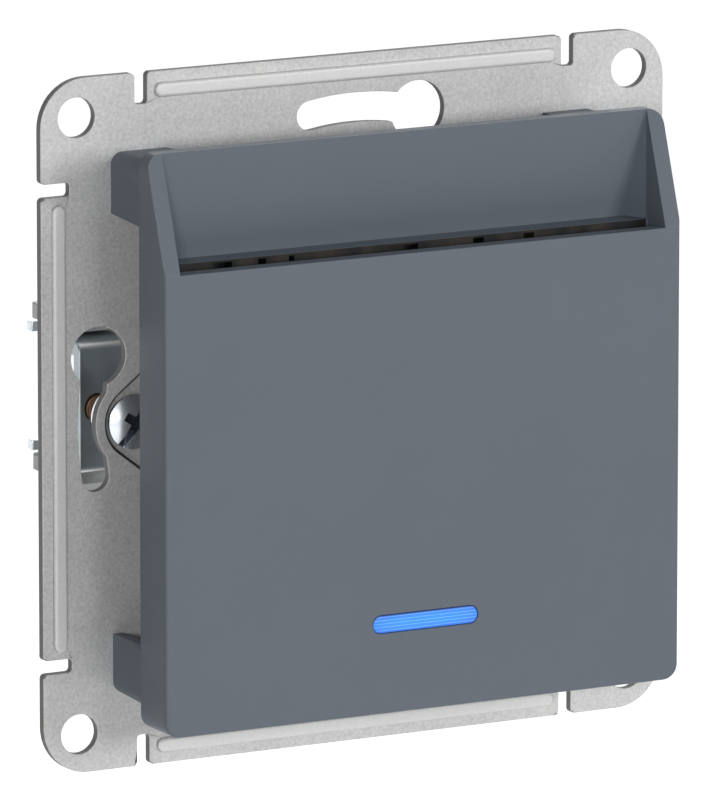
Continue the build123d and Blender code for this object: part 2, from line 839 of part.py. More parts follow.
# Indicator board, its lamp, its resistors and the two pins that feed it
with BuildPart() as indicator_board:
    with BuildSketch(wall_plane(board_forward)):
        rectangle_between(-board_width / 2, board_width / 2, board_low_z, board_high_z)
        with Locations((0, board_pin_z)):
            with GridLocations(2 * board_pin_x, 0, 2, 1):
                Circle(board_pin_r + run_gap, mode=Mode.SUBTRACT)
    extrude(amount=board_thick)
finish(indicator_board, "indicator_board")

with BuildPart() as indicator_led:
    with BuildSketch(wall_plane(board_forward + board_thick)):
        with Locations((0, lens_z)):
            Rectangle(2 * led_r, 2 * led_r)
    extrude(amount=led_base)
    with BuildSketch(wall_plane(board_forward + board_thick + led_base)):
        with Locations((0, lens_z)):
            Circle(led_r)
    extrude(amount=led_height - led_base)
    fillet(indicator_led.edges().group_by(Axis.Y)[0], radius=led_r / 2)
finish(indicator_led, "indicator_led")

with BuildPart() as board_resistors:
    with BuildSketch(wall_plane(board_forward + board_thick)):
        with Locations((0, board_low_z + resistor_rise)):
            with GridLocations(2 * resistor_x, 0, 2, 1):
                Rectangle(resistor_length, resistor_width)
    extrude(amount=resistor_height)
finish(board_resistors, "board_resistors")

with BuildPart() as board_pins:
    pin_back = riser_forward + run_gap
    with BuildSketch(wall_plane(pin_back)):
        with Locations((0, board_pin_z)):
            with GridLocations(2 * board_pin_x, 0, 2, 1):
                Circle(board_pin_r)
    extrude(amount=board_forward + board_thick + board_pin_proud - pin_back)
finish(board_pins, "board_pins")

# Chassis screws: guide pads, plate and housing bosses are clamped by four of them
with BuildPart() as chassis_screws:
    head_seat = plate_thick + pad_thick
    with BuildSketch(wall_plane(head_seat)):
        with GridLocations(2 * chassis_screw_x, 2 * chassis_screw_z, 2, 2):
            Circle(screw_head_r)
    extrude(amount=screw_head_height)
    fillet(chassis_screws.edges().group_by(Axis.Y)[0], radius=screw_head_height / 2)
    with BuildSketch(wall_plane(-screw_length)):
        with GridLocations(2 * chassis_screw_x, 2 * chassis_screw_z, 2, 2):
            Circle(screw_r)
    extrude(amount=screw_length + head_seat)
    with BuildSketch(wall_plane(head_seat + screw_head_height)):
        with GridLocations(2 * chassis_screw_x, 2 * chassis_screw_z, 2, 2):
            Rectangle(2 * screw_head_r, screw_slot_width)
    extrude(amount=-screw_slot_depth, mode=Mode.SUBTRACT)
finish(chassis_screws, "chassis_screws")

# Contact rocker: strip with a barrel round its pin, pushed at the bottom, contact at the top
with BuildPart() as contact_rocker:
    with BuildSketch(side_plane(0)):
        rectangle_between(
            rocker_forward - rocker_thick,
            rocker_forward,
            plunger_z - rocker_end_margin,
            rocker_pin_z + rocker_contact_arm + rocker_tip_margin,
        )
        with Locations((rocker_pin_f, rocker_pin_z)):
            Circle(rocker_barrel_r)
            Circle(rocker_pin_r + run_gap, mode=Mode.SUBTRACT)
    extrude(amount=rocker_width / 2, both=True)
finish(contact_rocker, "contact_rocker")

with BuildPart() as rocker_contact:
    with BuildSketch(wall_plane(rocker_forward)):
        with Locations((0, rocker_pin_z + rocker_contact_arm)):
            Circle(rivet_r)
    extrude(amount=rivet_height)
finish(rocker_contact, "rocker_contact")

with BuildPart() as rocker_pin:
    with BuildSketch(side_plane(0)):
        with Locations((rocker_pin_f, rocker_pin_z)):
            Circle(rocker_pin_r)
    extrude(amount=rocker_width / 2 + 2 * seat_gap + 2 * bracket_ear_thick, both=True)
finish(rocker_pin, "rocker_pin")

# Rocker return spring, on its spigot behind the rocker's lower end
rocker_spring_length = spring_seat_f + rocker_forward - rocker_thick - 2 * (wire_r + run_gap)
rocker_spring = coil(
    (0, spring_seat_f - wire_r - run_gap, plunger_z),
    (0, -1, 0),
    rocker_spring_r,
    rocker_spring_length,
    rocker_spring_turns,
)
finish(rocker_spring, "rocker_spring")


def terminal_bar(place_x, sign, front, riser_low_x, riser_high_x, riser_v):
    """Clamp bar along the chamber's outer wall, turned inwards at the front."""
    with BuildSketch(wall_plane(-bar_end)) as leg:
        rectangle_between(
            place_x - bar_width / 2,
            place_x + bar_width / 2,
            *sorted((sign * bar_outer_z, sign * bar_face_z)),
        )
    extrude(leg.sketch, amount=bar_end + front)
    with BuildSketch(wall_plane(front - bar_thick)) as riser:
        rectangle_between(
            riser_low_x,
            riser_high_x,
            *sorted((sign * bar_outer_z, seat_height(sign, riser_v))),
        )
    extrude(riser.sketch, amount=bar_thick)


# Live bar: clamp bar, riser past the indicator pin, and the bracket that holds the rocker's pin
with BuildPart() as live_bar:
    live_x = terminals["live"][0]
    band_high_v = bar_face_z + rocker_pin_z + band_half
    terminal_bar(live_x, -1, riser_forward, live_x - bar_width / 2, -board_pin_x + 1.5 * board_pin_r,
                 band_high_v)
    bracket_half = rocker_width / 2 + 2 * seat_gap + bracket_ear_thick
    with BuildSketch(wall_plane(riser_forward - bar_thick)):
        rectangle_between(
            live_x, bracket_half, rocker_pin_z - band_half, rocker_pin_z + band_half
        )
    extrude(amount=bar_thick)
    for side in sides.values():
        with BuildSketch(side_plane(side * (bracket_half - bracket_ear_thick / 2))):
            rectangle_between(
                rocker_pin_f - bracket_ear_half,
                riser_forward,
                rocker_pin_z - bracket_ear_half,
                rocker_pin_z + bracket_ear_half,
            )
            with Locations((rocker_pin_f, rocker_pin_z)):
                Circle(rocker_pin_r + run_gap, mode=Mode.SUBTRACT)
        extrude(amount=bracket_ear_thick / 2, both=True)
finish(live_bar, "live_bar")

# Load bar: clamp bar and the arm that stands in front of the rocker's contact
tilt = radians(rocker_travel)
contact_forward = rivet_height + rocker_pin_back
contact_reach = rocker_contact_arm + rivet_r
touch_forward = rocker_pin_f + contact_forward * cos(tilt) + contact_reach * sin(tilt) + push_gap
touch_z = rocker_pin_z + rocker_contact_arm * cos(tilt) - contact_forward * sin(tilt)
load_arm_forward = touch_forward + rivet_height + bar_thick
with BuildPart() as load_bar:
    load_x = terminals["load"][0]
    terminal_bar(load_x, 1, load_arm_forward, load_x - bar_width / 2, load_x + bar_width / 2,
                 bar_face_z - touch_z + rivet_r)
finish(load_bar, "load_bar")

with BuildPart() as load_contact:
    with BuildSketch(wall_plane(touch_forward)):
        with Locations((load_x, touch_z)):
            Circle(rivet_r)
    extrude(amount=rivet_height)
finish(load_contact, "load_contact")

# Neutral bar: clamp bar and the tab that the second indicator pin stands on
with BuildPart() as neutral_bar:
    neutral_x = terminals["neutral"][0]
    terminal_bar(neutral_x, -1, riser_forward, board_pin_x - 1.5 * board_pin_r,
                 neutral_x + bar_width / 2, bar_face_z + board_pin_z + 2 * board_pin_r)
finish(neutral_bar, "neutral_bar")

# Clamp springs and their release buttons, one pair for each terminal
for terminal_name, (place_x, sign) in terminals.items():
    with BuildPart() as clamp_spring:
        with BuildSketch(side_plane(place_x)):
            with BuildLine():
                FilletPolyline(
                    (-clamp_rear_f, seat_height(sign, clamp_leg_v)),
                    (-clamp_front_f, seat_height(sign, clamp_leg_v)),
                    (-clamp_front_f, seat_height(sign, clamp_knee_v)),
                    (-clamp_tip_f, seat_height(sign, clamp_tip_v)),
                    radius=clamp_bend_r,
                )
                offset(amount=clamp_thick / 2, side=Side.BOTH)
            make_face()
        extrude(amount=clamp_width / 2, both=True)
    finish(clamp_spring, f"clamp_spring_{terminal_name}")

    with BuildPart() as release_button:
        button_middle = seat_height(sign, (button_near_v + button_far_v) / 2)
        button_height = button_far_v - button_near_v
        with BuildSketch(wall_plane(-housing_depth)):
            with Locations((place_x, button_middle)):
                Rectangle(2 * button_half_x, button_height)
        extrude(amount=housing_depth - button_nose_f)
        with BuildSketch(wall_plane(rear_inner + run_gap)):
            with Locations((place_x, button_middle)):
                Rectangle(
                    2 * (button_half_x + button_shoulder), button_height + 2 * button_shoulder
                )
        extrude(amount=button_shoulder_thick)
        fillet(release_button.edges().group_by(Axis.Y)[-1], radius=button_shoulder / 2)
    finish(release_button, f"release_button_{terminal_name}")

# Spreader claws, their screws and the collars that keep the screws in the plate
for side_name, side in sides.items():
    with BuildPart() as claw:
        with BuildSketch(level_plane(claw_half_z)):
            with BuildLine():
                Polyline(
                    (side * claw_inner_x, claw_forward),
                    (side * claw_web_x, claw_forward),
                    (side * claw_web_x, claw_taper_start),
                    (side * claw_neck_x, claw_taper_end),
                    (side * claw_neck_x, claw_rear + claw_tooth_length),
                    (side * claw_tooth_x, claw_rear + claw_tooth_length),
                    (side * claw_tooth_x, claw_rear),
                    (side * claw_inner_x, claw_rear),
                    close=True,
                )
            make_face()
        extrude(amount=2 * claw_half_z)
        fillet(
            claw.edges().filter_by(Axis.X).group_by(Axis.Y)[0], radius=claw_bend_r
        )
        with BuildSketch(side_plane(0)):
            rectangle_between(
                claw_rear - overrun,
                claw_forward - claw_thick,
                claw_thick - claw_half_z,
                claw_half_z - claw_thick,
            )
        extrude(amount=claw_web_x + overrun, both=True, mode=Mode.SUBTRACT)
        with BuildSketch(side_plane(0)):
            rectangle_between(
                claw_rear - overrun,
                claw_rear + claw_tooth_length,
                claw_tooth_thick - claw_half_z,
                claw_half_z - claw_tooth_thick,
            )
        extrude(amount=claw_web_x + overrun, both=True, mode=Mode.SUBTRACT)
        with BuildSketch(wall_plane(claw_forward)):
            with Locations((side * claw_x, 0)):
                Circle(claw_screw_r + run_gap)
        extrude(amount=-2 * claw_thick, mode=Mode.SUBTRACT)
    finish(claw, f"claw_{side_name}")

    with BuildPart() as claw_screw:
        head_top = seat_side + head_side + head_dome
        with BuildSketch(level_plane(0).move(Pos(side * claw_x, 0, 0))):
            with BuildLine():
                Polyline(
                    (0, head_top),
                    (0, claw_screw_end),
                    (claw_screw_r / 2, claw_screw_end),
                    (claw_screw_r, claw_screw_end + claw_screw_r / 2),
                    (claw_screw_r, seat_shank),
                )
                ThreePointArc(
                    (claw_screw_r, seat_shank), (seat_middle_r, seat_middle), (head_r, seat_side)
                )
                Line((head_r, seat_side), (head_r, seat_side + head_side))
                TangentArc((0, head_top), (head_r, seat_side + head_side), tangent=(1, 0))
            make_face()
        revolve(axis=Axis((side * claw_x, 0, 0), (0, 1, 0)))
        with BuildSketch(wall_plane(head_top)):
            with Locations((side * claw_x, 0)):
                Rectangle(driver_slot_width, driver_slot_length)
        extrude(amount=-driver_slot_depth, mode=Mode.SUBTRACT)
    finish(claw_screw, f"claw_screw_{side_name}")

    with BuildPart() as screw_collar:
        with BuildSketch(wall_plane(collar_forward - collar_thick)):
            with Locations((side * claw_x, 0)):
                Circle(collar_r)
                Circle(claw_screw_r + run_gap, mode=Mode.SUBTRACT)
        extrude(amount=collar_thick)
    finish(screw_collar, f"screw_collar_{side_name}")
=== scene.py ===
import bmesh
import bpy
import json
import math
from mathutils import Matrix, Vector


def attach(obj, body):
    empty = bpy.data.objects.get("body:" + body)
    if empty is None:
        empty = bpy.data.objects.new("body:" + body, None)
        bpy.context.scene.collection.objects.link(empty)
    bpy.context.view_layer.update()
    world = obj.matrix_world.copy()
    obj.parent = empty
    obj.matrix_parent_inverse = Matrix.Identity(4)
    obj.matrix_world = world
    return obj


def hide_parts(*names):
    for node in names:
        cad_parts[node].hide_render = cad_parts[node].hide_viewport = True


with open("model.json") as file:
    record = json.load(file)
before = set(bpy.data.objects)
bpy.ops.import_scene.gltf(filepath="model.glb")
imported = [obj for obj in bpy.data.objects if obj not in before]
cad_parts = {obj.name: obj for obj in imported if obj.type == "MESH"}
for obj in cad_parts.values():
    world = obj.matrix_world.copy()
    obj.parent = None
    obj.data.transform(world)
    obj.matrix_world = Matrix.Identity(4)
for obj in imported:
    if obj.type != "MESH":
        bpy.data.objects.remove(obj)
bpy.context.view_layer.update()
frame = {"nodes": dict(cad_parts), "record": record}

nodes = frame["nodes"]
body_of_node = {
    node: body
    for body, members in frame["record"]["behaviour"]["bodies"].items()
    for node in members
}
slot_of_node = {
    entry["node"]: entry["material_slot"] for entry in frame["record"]["subparts"]
}
mm = 0.001

# Camera of the photograph: where it stands, the way it looks and its lens
camera_place = Vector((-499.20, -945.44, 216.62)) * mm
camera_azimuth = math.radians(27.85)
camera_elevation = math.radians(11.47)
camera_lens = 483.6
camera_sensor = 36.0

# Claw screws in mm, forward from the back of the plate
claw_x = 25.2
head_top = 1.86
head_radius = 2.79
dome_radius = 5.04
seat_centre = 2.1585
seat_radius = 3.145
shank_radius = 1.28
screw_end = -14.5
tip_length = 0.7
tip_radius = 0.7

# Arms of the driver recess: turn in degrees, depth, then half length and half width
# at the top and at the bottom. The first is the long slot across the head.
slot_turn = 57.0
recess_arms = (
    (slot_turn, 0.95, (3.10, 0.42), (3.10, 0.40)),
    (slot_turn, 1.45, (1.60, 0.55), (0.55, 0.28)),
    (slot_turn + 90.0, 1.45, (1.75, 0.52), (0.55, 0.28)),
)

# Middle of the blue window's ribs in mm: height, and distance before the plate's back
window_z = -20.0
rib_forward = 15.752

# Points of a copied mesh that lie closer than this are one point
merge_distance = 0.002 * mm


# A wire takes part in Python expressions, and each step of a sum adds its Math node
class Wire:
    """One output socket of a node tree that is being made."""

    def __init__(self, owner, socket):
        self.owner = owner
        self.socket = socket

    def maths(self, operation, first, second=0.0):
        return self.owner.add("ShaderNodeMath", {"operation": operation}, {0: first, 1: second})

    def __add__(self, other):
        return self.maths("ADD", self, other)

    def __radd__(self, other):
        return self.maths("ADD", other, self)

    def __sub__(self, other):
        return self.maths("SUBTRACT", self, other)

    def __rsub__(self, other):
        return self.maths("SUBTRACT", other, self)

    def __mul__(self, other):
        return self.maths("MULTIPLY", self, other)

    def __rmul__(self, other):
        return self.maths("MULTIPLY", other, self)

    def __truediv__(self, other):
        return self.maths("DIVIDE", self, other)

    def __rtruediv__(self, other):
        return self.maths("DIVIDE", other, self)

    def __abs__(self):
        return self.maths("ABSOLUTE", self)

    def __gt__(self, other):
        return self.maths("GREATER_THAN", self, other)

    def __lt__(self, other):
        return self.maths("LESS_THAN", self, other)

    def root(self):
        return self.maths("SQRT", self)

    def between(self, low, high):
        """1 where the wire lies between two numbers, and 0 elsewhere."""
        return (self > low) * (self < high)


class NodeTree:
    """A node tree that is being made."""

    def __init__(self, tree):
        self.tree = tree

    def connect(self, socket, value):
        """Link a wire to a socket, or set a number, a colour or a material on it."""
        if isinstance(value, Wire):
            self.tree.links.new(value.socket, socket)
        else:
            socket.default_value = value

    def add(self, kind, settings=None, sockets=None, output=0):
        """Add any node: its settings first, then the values or wires of its sockets.

        A list links each of its wires to one socket. An end node gives nothing back.
        """
        node = self.tree.nodes.new(kind)
        for setting, value in (settings or {}).items():
            setattr(node, setting, value)
        for socket, value in (sockets or {}).items():
            for source in value if isinstance(value, list) else [value]:
                self.connect(node.inputs[socket], source)
        return Wire(self, node.outputs[output]) if node.outputs else None


class Finish(NodeTree):
    """A material that is being made: one Principled surface and what feeds it."""

    def __init__(self, name, color, roughness, **numbers):
        self.material = bpy.data.materials.new(name)
        self.material.use_nodes = True
        super().__init__(self.material.node_tree)
        self.tree.nodes.clear()
        principled = self.add("ShaderNodeBsdfPrincipled")
        self.surface = principled.socket.node
        self.add("ShaderNodeOutputMaterial", None, {"Surface": principled})
        self.feed("Base Color", (*color, 1.0))
        self.feed("Roughness", roughness)
        for socket, number in numbers.items():
            self.feed(socket.replace("_", " ").title().replace("Ior", "IOR"), number)

    def feed(self, socket, value):
        """Set a number or colour on the surface's socket, or link a wire to it."""
        self.connect(self.surface.inputs[socket], value)

    def place(self, scale=(1, 1, 1)):
        """Object coordinates in metres, stretched by scale."""
        coordinates = self.add("ShaderNodeTexCoord", output="Object")
        return self.add("ShaderNodeMapping", None, {"Vector": coordinates, "Scale": scale})

    def grain(self, scale, detail=2.0, roughness=0.5, where=None):
        """Noise from 0 to 1."""
        return self.add(
            "ShaderNodeTexNoise",
            None,
            {
                "Vector": where or self.place(),
                "Scale": scale,
                "Detail": detail,
                "Roughness": roughness,
            },
        )

    def lines(self, stretch, detail=3.0, roughness=0.6):
        """Noise from 0 to 1, drawn out into lines by its scale along each axis."""
        return self.grain(1.0, detail, roughness, self.place(stretch))

    def axis(self, letter):
        """One of the object coordinates, in metres."""
        return self.add("ShaderNodeSeparateXYZ", None, {0: self.place()}, output=letter)

    def facing(self, letter):
        """How far the surface faces along one axis, from -1 to 1."""
        normal = self.add("ShaderNodeNewGeometry", output="Normal")
        return self.add("ShaderNodeSeparateXYZ", None, {0: normal}, output=letter)

    def blend(self, share, first, second):
        """Colour between first and second."""
        return self.add(
            "ShaderNodeMix",
            {"data_type": "RGBA"},
            {
                0: share,
                6: first if isinstance(first, Wire) else (*first, 1.0),
                7: second if isinstance(second, Wire) else (*second, 1.0),
            },
            output=2,
        )

    def clamp(self, wire):
        return self.add("ShaderNodeClamp", None, {0: wire})

    def bump(self, height, depth):
        """Feed the surface's normal from a height field, depth in metres."""
        normal = self.add("ShaderNodeBump", None, {"Height": height, "Distance": depth})
        self.feed("Normal", normal)


def swing(noise, reach):
    """Noise from 0 to 1 made a change of half the reach to either side."""
    return (noise - 0.5) * reach


def shades(color, spread):
    """A colour made darker and made lighter by a share of itself."""
    darker = tuple(part * (1.0 - spread) for part in color)
    lighter = tuple(min(1.0, part * (1.0 + spread)) for part in color)
    return darker, lighter


def grained(name, color, roughness, **numbers):
    """Moulded plastic: a fine spark-eroded grain, faint flow marks and a satin sheen.

    Returns the finish and its colour, which a mask can still change.
    """
    grain_size = 0.22 * mm
    grain_depth = 0.006 * mm
    finish = Finish(name, color, roughness, **numbers)
    flow = finish.grain(55.0, detail=3.0)
    fine = finish.grain(1.0 / grain_size, detail=2.0, roughness=0.6)
    share = finish.clamp(0.5 + swing(flow, 0.9) + swing(fine, 0.35))
    shade = finish.blend(share, *shades(color, 0.05))
    finish.feed("Base Color", shade)
    finish.feed("Roughness", roughness + swing(fine, 0.10) + swing(flow, 0.05))
    finish.bump(fine, grain_depth)
    return finish, shade


def moulding(name, color, roughness):
    """A plain grained moulding."""
    return grained(name, color, roughness)[0].material


def rolled_metal(name, color, roughness, stretch=(40.0, 3000.0, 900.0)):
    """Rolled or drawn metal: long fine lines along one way, with clouds of tarnish."""
    finish = Finish(name, color, roughness, metallic=1.0)
    lines = finish.lines(stretch)
    clouds = finish.grain(160.0, detail=3.0)
    share = finish.clamp(0.5 + swing(lines, 0.8) + swing(clouds, 1.0))
    finish.feed("Base Color", finish.blend(share, *shades(color, 0.08)))
    finish.feed("Roughness", roughness + swing(clouds, 0.12) + swing(lines, 0.08))
    finish.bump(lines, 0.002 * mm)
    return finish.material


def pocket_fold_shadow(finish):
    """1 along the fold round the screw pockets, where a dark line of painted shadow goes: a round
    nose with two flanks.
    """
    nose_x = 24.6
    nose_radius = 3.75
    flank = math.radians(38.0)
    line_middle = 0.06
    line_half_width = 0.12
    fold_reach = 3.0
    across = abs(finish.axis("X")) / mm - nose_x
    height = abs(finish.axis("Z")) / mm
    round_part = (across * across + height * height).root()
    flank_part = across * math.sin(flank) + height * math.cos(flank)
    on_flank = height > across / math.tan(flank)
    outline = round_part + on_flank * (flank_part - round_part)
    off_line = abs(outline - nose_radius - line_middle)
    line = finish.clamp((line_half_width - off_line) * 14.0)
    return line * (across > -fold_reach)


def galvanised_sheet():
    """Galvanised sheet: frosted speckle, soft clouds, rolling lines and dull sheared edges, with
    a painted highlight on the raised beads and a line of painted shadow along the screw pockets'
    fold.
    """
    dull, bright = (0.515, 0.517, 0.52), (0.785, 0.78, 0.77)
    bead_painted_highlight = (0.92, 0.92, 0.91)
    sheared_shade = (0.27, 0.265, 0.26)
    fold_painted_shadow = (0.03, 0.03, 0.03)
    bead_foot = 1.15
    finish = Finish("galvanised_sheet", dull, 0.48)
    clouds = finish.grain(95.0, detail=4.0, roughness=0.55)
    frost = finish.grain(2800.0, detail=3.0, roughness=0.7)
    streaks = finish.lines((150.0, 150.0, 2600.0), detail=2.0, roughness=0.5)
    crystals = finish.add(
        "ShaderNodeTexVoronoi",
        {"feature": "F1"},
        {"Vector": finish.place(), "Scale": 420.0, "Randomness": 1.0},
        output="Color",
    )
    spangle = finish.add("ShaderNodeRGBToBW", None, {0: crystals})
    share = finish.clamp(
        0.5
        + swing(clouds, 0.45)
        + swing(frost, 1.9)
        + swing(spangle, 0.14)
        + swing(streaks, 0.20)
    )
    sideways = 1.0 - abs(finish.facing("Y"))
    edge = finish.clamp((sideways - 0.86) * 10.0)
    # The raised beads are painted lighter: a painted highlight on their tops
    bead_top_lit = finish.clamp((finish.axis("Y") / -mm - bead_foot) * 5.0)
    color = finish.blend(share, dull, bright)
    color = finish.blend(bead_top_lit * 0.6, color, bead_painted_highlight)
    color = finish.blend(edge, color, sheared_shade)
    # A near-black line of painted shadow along the fold round the screw pockets
    finish.feed("Base Color", finish.blend(pocket_fold_shadow(finish), color, fold_painted_shadow))
    finish.feed("Metallic", 0.10 - edge * 0.10)
    finish.feed("Roughness", 0.46 + swing(clouds, 0.12) + swing(frost, 0.14) + edge * 0.35)
    finish.bump(frost * 0.7 + clouds * 0.9, 0.006 * mm)
    return finish.material


def claw_steel():
    """Spring steel of the claws: the body painted dark as painted shade behind the plate, the
    teeth painted lighter as painted light past it, and a painted highlight on the bends.
    """
    tooth_foot = 18.6
    highlight_facing = 0.66
    finish = Finish("claw_steel", (0.28, 0.33, 0.36), 0.30, metallic=0.55)
    lines = finish.lines((2600.0, 60.0, 900.0))
    clouds = finish.grain(220.0, detail=3.0)
    # The teeth are painted lighter than the body: painted light where they stand out past the
    # plate
    teeth_lit = finish.clamp((finish.axis("Y") / mm - tooth_foot) * 0.9 + swing(clouds, 0.5))
    # The body's colour is painted dark: painted shade for where it sits behind the plate
    body = finish.blend(
        finish.clamp(0.5 + swing(clouds, 1.1) + swing(lines, 0.5)),
        (0.215, 0.262, 0.285),
        (0.330, 0.390, 0.420),
    )
    # Where the surface faces part way up or down, at the bends, it is painted lighter: a painted
    # highlight
    off_highlight = abs(abs(finish.facing("Y")) - highlight_facing)
    bend_painted_highlight = finish.clamp(1.5 - off_highlight * 4.2) * (1.0 - teeth_lit)
    painted_lit_and_shaded = finish.blend(teeth_lit, body, (0.66, 0.71, 0.76))
    finish.feed("Base Color", finish.blend(bend_painted_highlight, painted_lit_and_shaded, (0.78, 0.78, 0.76)))
    finish.feed("Roughness", 0.34 + swing(clouds, 0.12) + swing(lines, 0.08))
    finish.bump(lines, 0.002 * mm)
    return finish.material


def cover_moulding(color):
    """The cover's slate moulding, with painted shade, near black to dark brown, over the ribs
    behind the card slot.
    """
    ribs_back, ribs_front = 10.0, 12.4
    ribs_foot, ribs_top = 15.9, 18.03
    ribs_half_length = 27.3
    finish, shade = grained("cover_slate", color, 0.50, specular_ior_level=0.2)
    forward = finish.axis("Y") / -mm
    height = finish.axis("Z") / mm
    aside = abs(finish.axis("X") / mm)
    on_ribs = forward.between(ribs_back, ribs_front) * height.between(ribs_foot, ribs_top)
    on_ribs = on_ribs * (aside < ribs_half_length)
    shade_patches = finish.lines((260.0, 1.0, 1.0), detail=1.0, roughness=0.5)
    # The ribs deep in the card slot are painted near black with a brown tinge: painted shade
    rib_painted_shade = finish.blend(
        finish.clamp((shade_patches - 0.42) * 7.0), (0.010, 0.010, 0.011), (0.032, 0.027, 0.023)
    )
    finish.feed("Base Color", finish.blend(on_ribs, shade, rib_painted_shade))
    return finish.material


def greased_screw():
    """Zinc-plated screw: bright head with painted shade inside the driver recess, and a dark
    brown thread.
    """
    zinc = (0.74, 0.79, 0.84)
    recess_start = 0.12
    thread_start = 0.2
    finish = Finish("greased_screw", zinc, 0.26, metallic=0.75)
    clouds = finish.grain(350.0, detail=3.0)
    forward = finish.axis("Y") / -mm
    across = abs(finish.axis("X")) / mm - claw_x
    height = finish.axis("Z") / mm
    dome = head_top - (across * across + height * height) / (2.0 * dome_radius)
    recess = finish.clamp((dome - forward - recess_start) * 5.0)
    # The shank and thread behind the head are coloured dark brown, in clouds
    thread = finish.clamp((thread_start - forward) * 3.0)
    thread_brown = finish.blend(clouds, (0.05, 0.03, 0.02), (0.22, 0.13, 0.08))
    # The driver recess is painted dark: painted shade in the hollow
    head = finish.blend(recess, zinc, (0.11, 0.13, 0.16))
    finish.feed("Base Color", finish.blend(thread, head, thread_brown))
    finish.feed("Roughness", 0.24 + swing(clouds, 0.10) + thread * 0.20)
    finish.bump(clouds, 0.004 * mm)
    return finish.material


def window_glass():
    """Blue window, lit from behind: brightest in the middle, with a dark rim, and a painted
    highlight on the up-facing sides of its ribs.
    """
    glow_half_length = 6.0
    glow_half_height = 0.95
    rim_run = 5.075
    rim_z = -20.05
    rim_radius = 0.80
    finish = Finish(
        "window_blue", (0.005, 0.04, 0.20), 0.28, coat_weight=0.3, emission_strength=0.85
    )
    along = abs(finish.axis("X")) / (glow_half_length * mm)
    across = abs(finish.axis("Z") - window_z * mm) / (glow_half_height * mm)
    core = finish.clamp(1.0 - across * across * 0.75 - along * along * along * along * 0.45)
    mottle = finish.grain(900.0)
    # Parts that face up glow more: a painted highlight on the upper sides of the ribs
    core = finish.clamp(core + swing(mottle, 0.10) + finish.facing("Z") * 0.35)
    glow = finish.blend(core, (0.003, 0.13, 0.72), (0.020, 0.33, 0.98))
    past_end = abs(finish.axis("X")) / mm - rim_run
    past_end = past_end * (past_end > 0.0)
    aside = finish.axis("Z") / mm - rim_z
    from_middle = (past_end * past_end + aside * aside).root()
    rim = finish.clamp((from_middle - rim_radius) * 9.0)
    finish.feed("Emission Color", finish.blend(rim, glow, (0.002, 0.018, 0.09)))
    return finish.material


def circuit_board():
    """Green glass epoxy with faint woven glass and a track."""
    track_z = -21.0
    track_half_width = 0.35
    finish = Finish("board_green", (0.02, 0.13, 0.06), 0.35, coat_weight=0.4)
    weave = finish.add(
        "ShaderNodeTexWave",
        {"bands_direction": "X"},
        {"Vector": finish.place(), "Scale": 900.0, "Distortion": 1.0},
        output="Fac",
    )
    track = abs(finish.axis("Z") - track_z * mm) < track_half_width * mm
    board = finish.blend(weave, (0.015, 0.11, 0.05), (0.03, 0.17, 0.08))
    finish.feed("Base Color", finish.blend(track, board, (0.05, 0.25, 0.11)))
    return finish.material


def lamp_lens():
    """Clear bluish body of the small lamp behind the window."""
    return Finish("lamp_clear", (0.35, 0.55, 0.95), 0.15, transmission_weight=0.6).material


finishes = {
    "slate_plastic": cover_moulding((0.148, 0.172, 0.203)),
    "zinc_sheet": galvanised_sheet(),
    "claw_zinc": claw_steel(),
    "zinc_steel": rolled_metal("zinc_steel", (0.74, 0.78, 0.81), 0.20, (900.0, 60.0, 900.0)),
    "spring_steel": rolled_metal("spring_steel", (0.42, 0.42, 0.43), 0.30),
    "black_moulding": moulding("black_moulding", (0.022, 0.023, 0.025), 0.42),
    "grey_moulding": moulding("grey_moulding", (0.50, 0.51, 0.51), 0.48),
    "white_moulding": moulding("white_moulding", (0.72, 0.72, 0.69), 0.35),
    "orange_moulding": moulding("orange_moulding", (0.78, 0.25, 0.04), 0.40),
    "blue_window": window_glass(),
    "blue_lamp": lamp_lens(),
    "board": circuit_board(),
    "black_chip": moulding("black_chip", (0.018, 0.018, 0.019), 0.30),
    "brass_strip": rolled_metal("brass_strip", (0.72, 0.53, 0.22), 0.30),
    "bronze_strip": rolled_metal("bronze_strip", (0.66, 0.40, 0.22), 0.30),
    "silver_rivet": rolled_metal("silver_rivet", (0.86, 0.85, 0.82), 0.22),
}


def in_scene(name, data):
    """A new object of the scene that holds a mesh, a lamp or a camera."""
    thing = bpy.data.objects.new(name, data)
    bpy.context.scene.collection.objects.link(thing)
    return thing


def new_piece(name, mesh, node, material=None):
    """Show a mesh as a piece that rides with a node's body and takes its slot's finish."""
    piece = in_scene(name, mesh)
    mesh.materials.clear()
    mesh.materials.append(material or finishes[slot_of_node[node]])
    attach(piece, body_of_node[node])
    return piece


def soften(mesh, angle):
    """Smooth shading that keeps edges sharper than the angle, in degrees."""
    mesh.shade_smooth()
    mesh.set_sharp_from_angle(angle=math.radians(angle))


def baked(piece, name):
    """Plain mesh of a piece with its modifiers applied."""
    graph = bpy.context.evaluated_depsgraph_get()
    mesh = bpy.data.meshes.new_from_object(piece.evaluated_get(graph))
    mesh.name = name
    return mesh


def closed_mesh(work, name):
    """End a bmesh as a new mesh whose faces point outwards."""
    bmesh.ops.recalc_face_normals(work, faces=work.faces)
    mesh = bpy.data.meshes.new(name)
    work.to_mesh(mesh)
    work.free()
    return mesh


